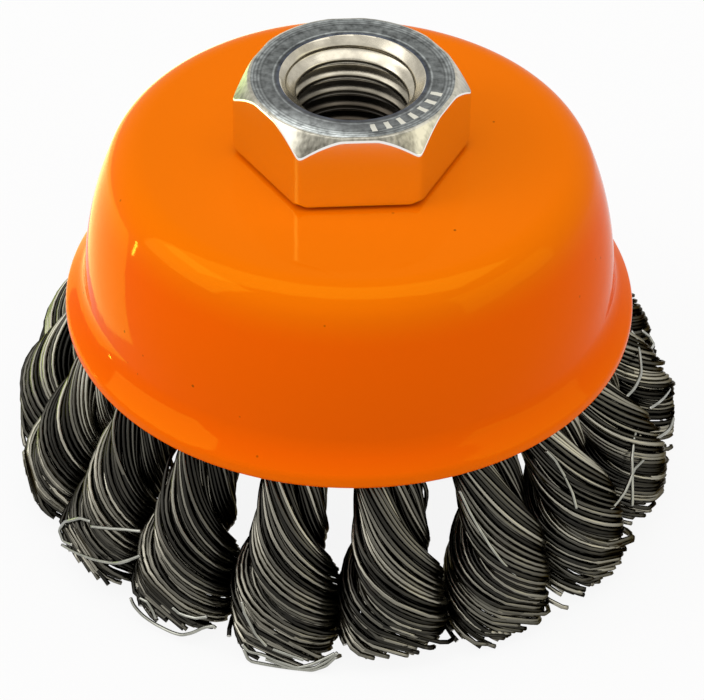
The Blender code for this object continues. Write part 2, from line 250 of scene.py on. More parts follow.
def ranged(tree, value, start, end, low=0.0, high=1.0, smooth=False):
    """Runs from low to high as the value goes from start to end, and stays there beyond."""
    node = tree.nodes.new("ShaderNodeMapRange")
    if smooth:
        node.interpolation_type = "SMOOTHSTEP"
    for name, limit in (("From Min", start), ("From Max", end), ("To Min", low), ("To Max", high)):
        node.inputs[name].default_value = limit
    tree.links.new(value, node.inputs["Value"])
    return node.outputs["Result"]


def blended(tree, share, first, second):
    """The first colour where the share is 0, the second where it is 1, and between them a mix."""
    node = tree.nodes.new("ShaderNodeMix")
    node.data_type = "RGBA"
    for name, value in (("Factor", share), ("A", first), ("B", second)):
        feed(tree, node.inputs[name], value)
    return node.outputs["Result"]


def banded(tree, share, first, stops, last, blending="LINEAR"):
    """Colours along a share: the first at 0, the last at 1, and (share, colour) stops between."""
    node = tree.nodes.new("ShaderNodeValToRGB")
    node.color_ramp.interpolation = blending
    node.color_ramp.elements[0].color = first
    node.color_ramp.elements[1].color = last
    for position, colour in stops:
        node.color_ramp.elements.new(position).color = colour
    tree.links.new(share, node.inputs["Fac"])
    return node.outputs["Color"]


def noise(tree, place, scale, detail=2):
    """Cloudy noise over a place: its outputs, Fac and Color."""
    node = tree.nodes.new("ShaderNodeTexNoise")
    node.inputs["Scale"].default_value = scale
    node.inputs["Detail"].default_value = detail
    tree.links.new(place, node.inputs["Vector"])
    return node.outputs


def coloured(finish, colour):
    """Gives a finish its pattern of colours."""
    tree = finish.node_tree
    tree.links.new(colour, tree.nodes["Principled BSDF"].inputs["Base Color"])


def embossed(finish, pattern, strength, depth):
    """Raises a finish's surface where its pattern is bright."""
    tree = finish.node_tree
    node = tree.nodes.new("ShaderNodeBump")
    node.inputs["Strength"].default_value = strength
    node.inputs["Distance"].default_value = depth
    tree.links.new(pattern, node.inputs["Height"])
    tree.links.new(node.outputs["Normal"], tree.nodes["Principled BSDF"].inputs["Normal"])


def enamel():
    """Orange enamel under a warm gloss, redder and darker down the wall than on the crown and
    the foot: a painted shade, as the wall faces away from the light.

    What it mirrors is tinted by the pigment, so the tint stands in for the clear part's own
    white gloss. The gloss has a faint skin like an orange's, and dust lies in the paint.
    """
    finish = new_finish(
        "orange_enamel", Roughness=0.06, Specular_IOR_Level=0.015, Specular_Tint=ENAMEL_GLOSS
    )
    tree = finish.node_tree
    place = object_place(tree)
    height = ranged(tree, split(tree, place)["Z"], RIM_HEIGHT, CROWN_HEIGHT)
    # Painted shade: darker and redder down the wall than on the crown and the foot.
    wall = [(share, WALL_SHADE_ORANGE) for share in WALL_SHARES]
    shaded_paint = banded(tree, height, FOOT_ORANGE, wall, CROWN_ORANGE, "EASE")

    dust = tree.nodes.new("ShaderNodeTexVoronoi")
    dust.inputs["Scale"].default_value = 330
    tree.links.new(place, dust.inputs["Vector"])
    speck = ranged(tree, dust.outputs["Distance"], 0.035, 0.065, low=1.0, high=0.0)
    few = ranged(tree, noise(tree, place, scale=120)["Fac"], 0.5, 0.56)
    coloured(finish, blended(tree, maths(tree, "MULTIPLY", speck, few), shaded_paint, DUST_BROWN))
    embossed(finish, noise(tree, place, scale=260)["Fac"], strength=0.12, depth=0.2 * MM)
    return finish


cup_outline = sheet_profile(*cup_skin(), CUP_SHEET)
cup_points = turned_points(*cup_outline, CUP_COLUMNS)
cup_quads = grid_quads(len(cup_outline[0]), CUP_COLUMNS, True, True)
cup = add_piece("enamelled_cup", cup_points, cup_quads, [enamel()])
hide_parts("cup_shell")

# The nut is a hexagon of zinc-plated bar steel, 22 mm across its flats, with a coarse right-hand
# thread. Its top is turned, its corners are chamfered, and its shank goes down through the cup
# and the pan and is rolled out under the pan.
NUT_TURN = np.radians(4.4)
HEX_ACROSS_FLATS = 22.0 * MM
HEX_CORNER_SHARPNESS = 60
HEX_FACE_RADIUS = 10.95 * MM
HEX_CHAMFER_FALL = np.radians(56)
HEX_FOOT_RADIUS = 12.1 * MM
HEX_FOOT_FALL = np.radians(50)
HEX_SEAT = CROWN_HEIGHT + 0.3 * MM
EDGE_BREAK = 0.2 * MM
EDGE_PARTS = 4
EDGE_MOST = 0.4
EDGE_HOLD = 1.2
THREAD_RADIUS = 7.0 * MM
THREAD_DEPTH = 1.08 * MM
THREAD_PITCH = 2.0 * MM
COUNTERSINK_RADIUS = 7.7 * MM
SHANK_RADIUS = 8.1 * MM
RIVET_LIP_RADIUS = 9.5 * MM
RIVET_LIP_HEIGHT = 1.3 * MM
RIVET_LIP_SOFTENING = 0.45 * MM
COLUMNS_PER_FLAT = 30
MERGE_DISTANCE = 0.001 * MM
NUT_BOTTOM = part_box("arbor_nut")[0].z
NUT_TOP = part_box("arbor_nut")[1].z


def nut_angles():
    """Angles round the nut, from the middle of a flat, closer together near the corners.

    Within a flat they run from -30 to 30 degrees as the mean of t and sin(90 t).
    """
    share = np.linspace(-1, 1, COLUMNS_PER_FLAT, endpoint=False)
    within = np.pi / 6 * (share + np.sin(np.pi / 2 * share)) / 2
    flats = NUT_TURN - np.pi / 2 + np.arange(6) * np.pi / 3
    return (flats[:, None] + within[None, :]).ravel()


def hexagon_radius(angle):
    """A hexagon with rounded corners: the radius to each flat's plane is the half width
    over the cosine of the angle to it, and a high norm of all six blends them.
    """
    flats = NUT_TURN - np.pi / 2 + np.arange(6) * np.pi / 3
    facing = np.clip(np.cos(angle[None, :] - flats[:, None]), 0.0, None)
    blend = np.sum(facing**HEX_CORNER_SHARPNESS, axis=0) ** (1 / HEX_CORNER_SHARPNESS)
    return HEX_ACROSS_FLATS / 2 / blend


def eased(outline):
    """Rounds each inner corner of an outline (corners, columns, 2).

    A corner gives way to the parabola between the two points that lie an edge break, or at
    most 0.4 of the side's length, before and after it. A point a fifth further out on
    either side keeps the sides flat up to the rounding.
    """
    rows = [outline[:1]]
    for before, corner, after in zip(outline[:-2], outline[1:-1], outline[2:]):
        ways = []
        for end in (before, after):
            length = np.linalg.norm(end - corner, axis=-1, keepdims=True)
            ways.append((end - corner) * np.minimum(EDGE_BREAK / length, EDGE_MOST))
        t = np.linspace(0, 1, EDGE_PARTS + 1)[:, None, None]
        rows.append((corner + EDGE_HOLD * ways[0])[None])
        rows.append(corner + (1 - t) ** 2 * ways[0] + t**2 * ways[1])
        rows.append((corner + EDGE_HOLD * ways[1])[None])
    rows.append(outline[-1:])
    return np.concatenate(rows)


def nut_outline(angle):
    """The nut's outside in (radius, height) for each angle, from its top to its rolled lip."""
    side = hexagon_radius(angle)
    face = np.minimum(side - EDGE_BREAK, HEX_FACE_RADIUS)
    drop = (side - face) * np.tan(HEX_CHAMFER_FALL)
    foot = np.minimum(side - EDGE_BREAK, HEX_FOOT_RADIUS)
    rise = (side - foot) * np.tan(HEX_FOOT_FALL)
    lip_top = NUT_BOTTOM + RIVET_LIP_HEIGHT
    corners = [
        (COUNTERSINK_RADIUS, NUT_TOP),
        (face, NUT_TOP),
        (side, NUT_TOP - drop),
        (side, HEX_SEAT + rise),
        (foot, HEX_SEAT),
        (SHANK_RADIUS, HEX_SEAT),
        (SHANK_RADIUS, lip_top),
        (RIVET_LIP_RADIUS, lip_top),
        (RIVET_LIP_RADIUS, NUT_BOTTOM + RIVET_LIP_SOFTENING),
        (RIVET_LIP_RADIUS - RIVET_LIP_SOFTENING, NUT_BOTTOM),
        (COUNTERSINK_RADIUS, NUT_BOTTOM),
    ]
    columns = [np.stack(np.broadcast_arrays(r, z, angle)[:2], axis=-1) for r, z in corners]
    return np.stack(columns)


def thread_rows():
    """One turn of the thread's flank: (share of the pitch, share of the depth) at each row.

    A quarter of the pitch lies at the inner radius, an eighth at the outer one, and the
    flanks between them slope at 60 degrees, with softened corners.
    """
    share = np.array([0, 8, 17, 23, 28, 41, 53, 58, 62.5, 67, 72, 84, 97]) / 100
    depth = np.array([0, 0, 0, 2, 10, 52, 92, 99, 100, 99, 92, 52, 10]) / 100
    return share, depth


def thread_points(angle):
    """The threaded bore: a profile that climbs one pitch for each turn of the angle.

    Its height is the row's own height plus the pitch times the angle over a full turn, held
    between the nut's ends. Its radius is the thread's, or that of the two 45-degree
    countersinks where they are wider.
    """
    share, depth = thread_rows()
    turns = np.ceil((NUT_TOP - NUT_BOTTOM) / THREAD_PITCH) + 1
    start = (np.arange(-1, turns)[:, None] + share[None, :]).ravel() * THREAD_PITCH
    radius = THREAD_RADIUS - THREAD_DEPTH + THREAD_DEPTH * np.tile(depth, int(turns) + 1)
    climb = (angle - angle[0]) / (2 * np.pi) * THREAD_PITCH
    height = np.clip(NUT_BOTTOM + start[:, None] + climb[None, :], NUT_BOTTOM, NUT_TOP)
    sink = COUNTERSINK_RADIUS - np.minimum(NUT_TOP - height, height - NUT_BOTTOM)
    radius = np.maximum(np.broadcast_to(radius[:, None], height.shape), sink)
    return np.stack([radius * np.cos(angle), radius * np.sin(angle), height], axis=-1)


def thread_quads(rows, columns, rows_per_turn):
    """A grid's quads, with its last column joined to its first one a whole turn higher."""
    row = np.arange(rows - 1)[:, None]
    column = np.arange(columns)[None, :]
    last = column == columns - 1
    beside = np.where(last, 0, column + 1)
    shift = np.where(last, rows_per_turn, 0)
    corners = [row * columns + column, (row + 1) * columns + column]
    corners += [(row + 1 + shift) * columns + beside, (row + shift) * columns + beside]
    quads = np.stack(np.broadcast_arrays(*corners), axis=-1).reshape(-1, 4)
    return quads[quads.max(axis=1) < rows * columns]


ZINC = (0.86, 0.84, 0.80, 1)


def plated_flats():
    """The hexagon's six flats: bright drawn steel under zinc, nearly a mirror, faintly wavy."""
    finish = new_finish("plated_flats", Base_Color=ZINC, Metallic=1.0, Roughness=0.12)
    waves = noise(finish.node_tree, object_place(finish.node_tree), scale=300, detail=6)
    embossed(finish, waves["Fac"], strength=0.12, depth=0.1 * MM)
    return finish


# The greys across the turned top, each with its share of the way out to the top's edge.
TOP_FIRST = (0.06, 0.07, 0.095, 1)
TOP_LAST = (0.72, 0.71, 0.62, 1)
TOP_RINGS = (
    (0.14, 0.07),
    (0.19, 0.30),
    (0.24, 0.13),
    (0.55, 0.15),
    (0.60, 0.09),
    (0.66, 0.22),
    (0.71, 0.11),
    (0.77, 0.27),
    (0.82, 0.13),
    (0.87, 0.30),
    (0.91, 0.17),
)
STAMP_RADIUS = 9.3 * MM
STAMP_LENGTH = 1.2 * MM
STAMP_START = np.radians(-80)
STAMP_END = np.radians(-12)
STAMP_SPACING = np.radians(9.7)
STAMP_SHARE = 0.36
STAMP_ROUGHNESS = 0.25 * MM
STAMP_PALE = (0.72, 0.70, 0.60, 1)
# A painted highlight brightens the top towards the front, left of its middle.
HIGHLIGHT_SIDE = (-0.42, -0.91, 0.0)
HIGHLIGHT_START = 8.1 * MM
HIGHLIGHT_END = 9.9 * MM
HIGHLIGHT_GAIN = 2.8


def vector_maths(tree, operation, *vectors):
    """One step of arithmetic on vectors: its outputs, Vector and Value."""
    node = tree.nodes.new("ShaderNodeVectorMath")
    node.operation = operation
    for socket, vector in zip(node.inputs, vectors):
        feed(tree, socket, vector)
    return node.outputs


def scaled(tree, vector, factor):
    """A vector or a colour times a number."""
    node = tree.nodes.new("ShaderNodeVectorMath")
    node.operation = "SCALE"
    tree.links.new(vector, node.inputs[0])
    feed(tree, node.inputs["Scale"], factor)
    return node.outputs["Vector"]


def stamped_marks(tree, place, torn, radius):
    """1 on a row of plain short strokes that are stamped across the nut's top, else 0.

    A stroke is where the angle about the axis lies within the middle 0.36 of its spacing,
    in the row's sector and within half a stroke's length of the row's radius. The noise
    moves the radius and the place a little, because the stamp has torn the strokes' edges.
    """
    shift = scaled(tree, torn["Color"], STAMP_ROUGHNESS)
    parts = split(tree, vector_maths(tree, "ADD", place, shift)["Vector"])
    angle = maths(tree, "ARCTAN2", parts["Y"], parts["X"])
    turns = maths(tree, "DIVIDE", maths(tree, "SUBTRACT", angle, STAMP_START), STAMP_SPACING)
    stroke = maths(tree, "COMPARE", maths(tree, "FRACT", turns), 0.5, STAMP_SHARE / 2)
    middle, half = (STAMP_START + STAMP_END) / 2, (STAMP_END - STAMP_START) / 2
    sector = maths(tree, "COMPARE", angle, middle, half)
    rough = maths(tree, "ADD", radius, maths(tree, "MULTIPLY", torn["Fac"], STAMP_ROUGHNESS))
    row = maths(tree, "COMPARE", rough, STAMP_RADIUS, STAMP_LENGTH / 2)
    return maths(tree, "MULTIPLY", maths(tree, "MULTIPLY", stroke, sector), row)


def turned_top():
    """The nut's top: dark turned steel with rings from the tool, paler towards its rim, and
    brighter at the front, left of its middle, a painted highlight.
    """
    finish = new_finish("turned_top", Metallic=1.0, Roughness=0.34)
    tree = finish.node_tree
    place = object_place(tree)
    level = vector_maths(tree, "MULTIPLY", place, (1, 1, 0))["Vector"]
    radius = vector_maths(tree, "LENGTH", level)["Value"]
    share = ranged(tree, radius, COUNTERSINK_RADIUS, HEX_FACE_RADIUS)
    greys = [(stop, (grey, grey * 1.06, grey * 1.03, 1)) for stop, grey in TOP_RINGS]
    band = banded(tree, share, TOP_FIRST, greys, TOP_LAST)

    blotches = noise(tree, place, scale=1500, detail=6)
    grain = ranged(tree, blotches["Fac"], 0.3, 0.7, low=0.5, high=1.5)
    # Painted highlight: brighter towards the front, left of the middle.
    front = vector_maths(tree, "DOT_PRODUCT", place, HIGHLIGHT_SIDE)["Value"]
    highlight = ranged(tree, front, HIGHLIGHT_START, HIGHLIGHT_END, low=1.0, high=HIGHLIGHT_GAIN)
    toned = scaled(tree, band, maths(tree, "MULTIPLY", grain, highlight))
    marks = stamped_marks(tree, place, blotches, radius)
    coloured(finish, blended(tree, marks, toned, STAMP_PALE))

    rings = tree.nodes.new("ShaderNodeTexNoise")
    rings.noise_dimensions = "1D"
    rings.inputs["Scale"].default_value = 2600
    rings.inputs["Detail"].default_value = 3
    tree.links.new(radius, rings.inputs["W"])
    embossed(finish, rings.outputs["Fac"], strength=0.5, depth=0.05 * MM)
    return finish


# The greys of the painted reflection across the chamfers, each with its share of the way from left
# to right.
CHAMFER_REFLECTION_BAND = (
    (0.0, 0.1),
    (0.11, 0.25),
    (0.17, 0.80),
    (0.20, 0.90),
    (0.275, 0.0),
    (0.74, 0.0),
    (0.785, 0.15),
    (0.815, 0.70),
    (0.87, 0.30),
    (1.0, 0.35),
)
# Painted shade: the chamfers grow darker towards their lower edge.
CHAMFER_LOW = NUT_TOP - 2.2 * MM
CHAMFER_HIGH = NUT_TOP - 0.5 * MM
CHAMFER_HEIGHT_WEIGHT = 0.35
CHAMFER_DARK = (0.07, 0.065, 0.05, 1)
CHAMFER_PALE = (0.60, 0.57, 0.47, 1)


def turned_chamfer():
    """The chamfers: grey steel with a painted reflection, pale beside the left corners and less
    so beside the right ones and darker lower down, with dark streaks where the tool has
    dragged down them.

    The colour follows the sum of the height, a band from left to right and noise.
    """
    finish = new_finish("turned_chamfer", Metallic=1.0, Roughness=0.3)
    tree = finish.node_tree
    place = object_place(tree)
    drawn = tree.nodes.new("ShaderNodeMapping")
    drawn.inputs["Scale"].default_value = (4.0, 4.0, 0.6)
    tree.links.new(place, drawn.inputs["Vector"])
    streaks = noise(tree, drawn.outputs["Vector"], scale=600, detail=5)["Fac"]

    # Painted reflection: lighter higher up and in bands from left to right.
    parts = split(tree, place)
    height = ranged(tree, parts["Z"], CHAMFER_LOW, CHAMFER_HIGH)
    aside = ranged(tree, parts["X"], -HEX_ACROSS_FLATS / 2, HEX_ACROSS_FLATS / 2)
    first, *greys, last = [(stop, (grey, grey, grey, 1)) for stop, grey in CHAMFER_REFLECTION_BAND]
    band = banded(tree, aside, first[1], greys, last[1])
    shade_and_streaks = maths(tree, "MULTIPLY_ADD", height, CHAMFER_HEIGHT_WEIGHT, streaks)
    share = ranged(tree, maths(tree, "ADD", shade_and_streaks, band), 0.45, 1.35)
    coloured(finish, blended(tree, share, CHAMFER_DARK, CHAMFER_PALE))
    embossed(finish, streaks, strength=0.35, depth=0.06 * MM)
    return finish


# Painted shade: the bore darkens from just under its top down into its depth.
BORE_SHADE_START = NUT_TOP - 0.8 * MM
BORE_SHADE_FULL = NUT_TOP - 8.5 * MM
SHADED_BORE_STEEL = (0.045, 0.037, 0.028, 1)
CUT_STEEL = (0.50, 0.46, 0.37, 1)


def cut_thread():
    """The bore: warm cut steel, pale at the countersink and darker further down, a painted shade
    deep in the bore.
    """
    finish = new_finish("cut_thread", Metallic=1.0, Roughness=0.26)
    tree = finish.node_tree
    place = object_place(tree)
    height = split(tree, place)["Z"]
    depth = ranged(tree, height, BORE_SHADE_FULL, BORE_SHADE_START, smooth=True)
    patches = noise(tree, place, scale=420, detail=5)["Fac"]
    mottle = ranged(tree, patches, 0.0, 1.0, low=0.3, high=1.7)
    coloured(finish, scaled(tree, blended(tree, depth, SHADED_BORE_STEEL, CUT_STEEL), mottle))
    return finish


def close_mesh(mesh):
    """Merges the points that lie on each other, and turns the faces outwards."""
    solid = bmesh.new()
    solid.from_mesh(mesh)
    bmesh.ops.remove_doubles(solid, verts=solid.verts, dist=MERGE_DISTANCE)
    bmesh.ops.dissolve_degenerate(solid, edges=solid.edges, dist=MERGE_DISTANCE)
    bmesh.ops.recalc_face_normals(solid, faces=solid.faces)
    solid.to_mesh(mesh)
    solid.free()


# The nut's finishes in their order on it, and the rows of quads, counted from its top, where
# each of them lies. Every rounded corner of its outline takes seven rows.
FLATS, TOP, CHAMFER, THREAD = range(4)
ROWS_BY_FINISH = ((TOP, slice(0, 2)), (CHAMFER, slice(2, 10)), (CHAMFER, slice(20, 23)))

nut_angle = nut_angles()
nut_columns = len(nut_angle)
outside_radius, outside_height = np.moveaxis(eased(nut_outline(nut_angle)), -1, 0)
outside_x, outside_y = outside_radius * np.cos(nut_angle), outside_radius * np.sin(nut_angle)
outside_points = np.stack([outside_x, outside_y, outside_height], axis=-1)
bore_points = thread_points(nut_angle)
outside_quads = grid_quads(len(outside_points), nut_columns, False, True)
bore_quads = thread_quads(len(bore_points), nut_columns, len(thread_rows()[0]))
nut_quads = np.concatenate([outside_quads, bore_quads + outside_points.size // 3])
nut_points = np.concatenate([outside_points.reshape(-1, 3), bore_points.reshape(-1, 3)])
nut = add_piece(
    "threaded_nut",
    nut_points,
    nut_quads,
    [plated_flats(), turned_top(), turned_chamfer(), cut_thread()],
)
row_finish = np.full(len(outside_points) - 1, FLATS)
for finish_index, rows in ROWS_BY_FINISH:
    row_finish[rows] = finish_index
face_finish = np.full(len(nut_quads), THREAD)
face_finish[: len(outside_quads)] = np.repeat(row_finish, nut_columns)
nut.data.polygons.foreach_set("material_index", face_finish)
close_mesh(nut.data)
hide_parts("arbor_nut")

# The pan inside the cup is pressed from thicker bare steel. A ring of holes near its edge
# holds the wires, and only the underside of the brush shows it.
PAN_DARK = (0.16, 0.16, 0.16, 1)
PAN_PALE = (0.42, 0.41, 0.39, 1)


def pressed_steel():
    """Dull grey rolled steel with a film of oil, a little mottled."""
    finish = new_finish("bare_pressed_steel", Metallic=1.0, Roughness=0.42)
    tree = finish.node_tree
    mottle = noise(tree, object_place(tree), scale=350, detail=8)["Fac"]
    coloured(finish, blended(tree, mottle, PAN_DARK, PAN_PALE))
    embossed(finish, mottle, strength=0.2, depth=0.05 * MM)
    return finish


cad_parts["knot_holder"].material_slots[0].material = pressed_steel()

# Each knot is a bundle of hard-drawn steel wires, folded through a hole of the pan and over
# its edge. The two legs of the fold are twisted together, left-handed, into a rope of two oval
# strands that swells towards the cut wires the brush stands on.
KNOT_COUNT = 18
FIRST_KNOT = np.radians(-10)
WIRE_DIAMETER = 0.52 * MM
WIRES_PER_LEG = 54
WIRE_SIDES = 5
LEG_STATIONS = 39
FOLD_STATIONS = 5
FLANGE_RISE = np.radians(31)
PAN_SHEET = 1.5 * MM
WEB_PLACE = (21.4 * MM, 28.1 * MM)
LEG_SPACING = 6.0 * MM
LEG_RADIUS = 2.1 * MM
LEG_CLOSING = 0.12
TIP_AXIS_RADIUS = 32.31 * MM
TIP_LEAN = np.radians(2.5)
TOP_REACH = 0.3
TIP_REACH = 0.4
WAIST_RADIUS = 3.3 * MM
SWOLLEN_RADIUS = 5.5 * MM
SWELL_START = 0.45
TIP_CLOSING = 0.35 * MM
STRAND_DEPTH = 0.54
STRAND_WIDTH = 0.84
STRAND_CONTACT = 0.02
STRAND_SQUARENESS = 5
MERGE_START = 0.45
MERGE_END = 0.92
EVEN_TURNS = 0.6
END_TURNS = 0.5
REACH_LIMIT = 37.0 * MM
WIDTH_RANGE = (0.97, 1.02)
SWELL_END_RANGE = (0.8, 0.9)
STATION_CROWDING = 1.3
PACKING_STEPS = np.linspace(0.05, 0.004, 90)
STRAY_AT_PAN = 0.09 * MM
STRAY_GROWTH = 0.26 * MM
WANDER_SPEEDS = (2.0, 9.0)
BULGE_HEIGHT = 1.1 * MM
BULGE_PLACES = (0.4, 0.8)
BULGE_LENGTH = 0.13
FRIZZ_REACH = 3.0 * MM
FRIZZ_START = 0.8
FRIZZ_LENGTH = 0.2
TUFTS = 9
TUFT_STEP = 0.035
TUFT_FRAY = 0.045
TONE_RARITY = 2.9
WIRE_GLOSS = (0.3, 0.28, 0.24, 1)
WIRE_DARK = (0.022, 0.021, 0.018, 1)
WIRE_PALE = (0.37, 0.35, 0.285, 1)
CUT_END = (0.5, 0.49, 0.45, 1)
FLANGE_ALONG = np.array([np.cos(FLANGE_RISE), np.sin(FLANGE_RISE)])
FLANGE_UP = np.array([-np.sin(FLANGE_RISE), np.cos(FLANGE_RISE)])

# How far a knot stands off its even place, in degrees about the brush, at the rim and at the
# tip, how many more turns it is twisted, and how much shorter than the longest one it is cut.
KNOT_LEANS = {
    1: (-1.4, -0.5),
    2: (-0.6, -0.4),
    3: (2.4, -0.9),
    4: (1.0, 0.4),
    5: (0.4, 0.8),
    6: (0.0, 1.4),
    15: (-1.0, -2.0),
    16: (-0.6, -1.6),
    17: (-0.8, -1.4),
    18: (-1.9, -1.1),
}
KNOT_TWISTS = {1: 0.1, 3: 0.03, 16: 0.13, 17: 0.12, 18: 0.12}
KNOT_TRIMS = {
    2: 1.2 * MM,
    4: 0.4 * MM,
    5: 1.9 * MM,
    6: 1.2 * MM,
    9: 0.9 * MM,
    12: 1.3 * MM,
    13: 0.6 * MM,
    15: 0.8 * MM,
    16: 1.2 * MM,
    17: 1.2 * MM,
    18: 0.6 * MM,
}


def eased_share(share):
    """Runs from 0 to 1 as 3 t squared less 2 t cubed, and stays there beyond both ends."""
    share = np.clip(share, 0.0, 1.0)
    return share * share * (3 - 2 * share)


def packed_disc(count, random):
    """Points spread evenly over a disc of radius 1, as wires lie in a bundle.

    They start at random and push each other apart by the inverse square of their distance,
    in steps that shrink, and none leaves the disc.
    """
    angle = random.uniform(0, 2 * np.pi, count)
    points = np.sqrt(random.uniform(0, 1, count))[:, None] * np.stack(
        [np.cos(angle), np.sin(angle)], axis=-1
    )
    for step in PACKING_STEPS:
        apart = points[:, None] - points[None, :]
        near = np.sum(apart**2, axis=-1) + 1e-4
        push = np.sum(apart / near[..., None] ** 2, axis=1)
        push /= np.linalg.norm(push, axis=-1, keepdims=True)
        points += push * step
        points /= np.maximum(1.0, np.linalg.norm(points, axis=-1))[:, None]
    return points


def strand_place(points):
    """Carries a disc's points into an oval strand's section, as shares of the rope's radius.

    The oval's centre lies one less its half depth from the rope's axis, and each point keeps
    its share of the way to the edge. Towards the other strand the edge is the flat between
    them, blended with the oval by a norm, which rounds the corners.
    """
    centre = 1 - STRAND_DEPTH
    share = np.maximum(np.linalg.norm(points, axis=-1), 1e-6)
    across = points[..., 0] / share
    flat = (centre - STRAND_CONTACT) / STRAND_DEPTH / np.maximum(-across, 0.02)
    edge = (1 + flat**-STRAND_SQUARENESS) ** (-1 / STRAND_SQUARENESS)
    return centre + STRAND_DEPTH * edge * points[..., 0], STRAND_WIDTH * edge * points[..., 1]


def half_round(points):
    """Carries a disc's points into half a disc, flat side inwards, as shares of its radius.

    x goes to (1 + x) / 2, and y keeps its share of the width there.
    """
    x, y = points[..., 0], points[..., 1]
    return (1 + x) / 2, y * np.sqrt((3 + x) / (4 * np.maximum(1 + x, 0.02)))


def knot_axis(share):
    """The knot's axis in (radius, height) with its direction: a cubic curve from the pan,
    square to its flange, to the tip, nearly upright.
    """
    top = np.array(WEB_PLACE) - FLANGE_UP * PAN_SHEET / 2
    tip = np.array([TIP_AXIS_RADIUS, 0.0])
    span = np.linalg.norm(tip - top)
    top_handle = top - FLANGE_UP * span * TOP_REACH
    tip_handle = tip + np.array([-np.sin(TIP_LEAN), np.cos(TIP_LEAN)]) * span * TIP_REACH
    s = share[..., None]
    point = (1 - s) ** 3 * top + 3 * (1 - s) ** 2 * s * top_handle
    point += 3 * (1 - s) * s**2 * tip_handle + s**3 * tip
    ahead = (1 - s) ** 2 * (top_handle - top) + 2 * (1 - s) * s * (tip_handle - top_handle)
    ahead += s**2 * (tip - tip_handle)
    return point, ahead / np.linalg.norm(ahead, axis=-1, keepdims=True)


def upright(plane):
    """Puts (radius, height) vectors upright at the front of the brush, towards -Y."""
    return np.stack([np.zeros(plane.shape[:-1]), -plane[..., 0], plane[..., 1]], axis=-1)


def knot_radius(share, swell_end):
    """The rope's radius: its waist, eased to its full size, and closed in a little at the tip."""
    grown = eased_share((share - SWELL_START) / (swell_end - SWELL_START))
    closing = TIP_CLOSING * eased_share((share - swell_end) / (1 - swell_end))
    return WAIST_RADIUS + (SWOLLEN_RADIUS - WAIST_RADIUS) * grown - closing


def leg_paths(place, side, share, radius, stray, twist):
    """The paths of one leg's wires, (wires, stations, 3), and the outward direction there.

    A wire keeps its place in the strand. The strand is a circle beside the pan's edge, an
    oval half of the rope below it, and half of a round bundle towards the tip. It turns
    about the knot's axis by an even rate and by an extra one with the share's fourth power.
    """
    point, ahead = knot_axis(share)
    outwards = upright(np.stack([-ahead[..., 1], ahead[..., 0]], axis=-1))
    sideways = np.array([1.0, 0.0, 0.0])
    closed = eased_share(share / LEG_CLOSING)
    turn = 2 * np.pi * ((EVEN_TURNS + twist) * share + END_TURNS * share**4)
    angle = (turn * closed)[..., None]
    out = side * (np.cos(angle) * outwards + np.sin(angle) * sideways)
    beside = side * (np.cos(angle) * sideways - np.sin(angle) * outwards)
    merged = eased_share((share - MERGE_START) / (MERGE_END - MERGE_START))
    apart = LEG_SPACING / 2 + LEG_RADIUS * place[:, :1], LEG_RADIUS * place[:, 1:]
    offsets = []
    for part, oval, half, off in zip(apart, strand_place(place), half_round(place), stray):
        joined = (oval[:, None] + (half - oval)[:, None] * merged) * radius
        offsets.append((part + (joined - part) * closed + off)[..., None])
    return upright(point) + offsets[0] * out + offsets[1] * beside, out


def fold_paths(place):
    """The wires' half circles over the pan's edge, between its inner and outer leg."""
    web = np.array(WEB_PLACE) + FLANGE_UP * PAN_SHEET / 2
    angle = np.linspace(0, np.pi, FOLD_STATIONS + 2)[1:-1]
    out = upright(np.outer(-np.cos(angle), FLANGE_ALONG) + np.outer(np.sin(angle), FLANGE_UP))
    x = LEG_SPACING / 2 + LEG_RADIUS * place[:, 0]
    y = LEG_RADIUS * place[:, 1]
    sideways = np.array([1.0, 0.0, 0.0])
    paths = upright(web) + x[:, None, None] * out - y[:, None, None] * sideways
    return paths, np.broadcast_to(out, paths.shape)


def wander(random, share, size):
    """How far each wire strays from its place: two slow waves of random phase."""
    count = len(share)
    phase = random.uniform(0, 2 * np.pi, (2, 2, count, 1))
    speed = random.uniform(*WANDER_SPEEDS, (2, 2, count, 1))
    waves = np.sin(phase + speed * share).sum(axis=1) / 2
    return waves * size


def bulge(random, place, share):
    """How far the few slack wires on the back of a strand stand out, as a bell along them.

    The height of the bell is a random number to the twelfth power, so that few are high.
    """
    height = BULGE_HEIGHT * random.uniform(0, 1, len(place)) ** 12 * (place[:, 0] > 0)
    middle = random.uniform(*BULGE_PLACES, (len(place), 1))
    return height[:, None] * np.exp(-(((share - middle) / BULGE_LENGTH) ** 2))


def frizz(random, share):
    """How far each wire springs off near its cut end: away from the rope, and seldom far.

    The distance is a random number to the fourth power, times an eased run over the last
    fifth of the knot. Its direction lies within a quarter turn of the strand's outside.
    """
    angle = random.uniform(-np.pi / 2, np.pi / 2, len(share))
    size = FRIZZ_REACH * random.uniform(0, 1, len(share)) ** 4
    sprung = np.stack([size * np.cos(angle), size * np.sin(angle)])
    return sprung[..., None] * eased_share((share - FRIZZ_START) / FRIZZ_LENGTH)


def tuft_shares(random, place, trim):
    """The share of the knot's length that each wire of a strand reaches, cut in tufts.

    A tuft takes the wires within one ninth of the strand's round, by their angle in it. It
    is cut shorter by the square of a random number, and each wire by the cube of its own.
    """
    angle = np.arctan2(place[:, 1], place[:, 0]) + random.uniform(0, 2 * np.pi)
    tuft = np.floor(angle / (2 * np.pi) * TUFTS).astype(int) % TUFTS
    shorter = TUFT_STEP * random.uniform(0, 1, TUFTS)[tuft] ** 2
    frayed = TUFT_FRAY * random.uniform(0, 1, len(place)) ** 3
    return (1 - trim - shorter - frayed)[:, None]


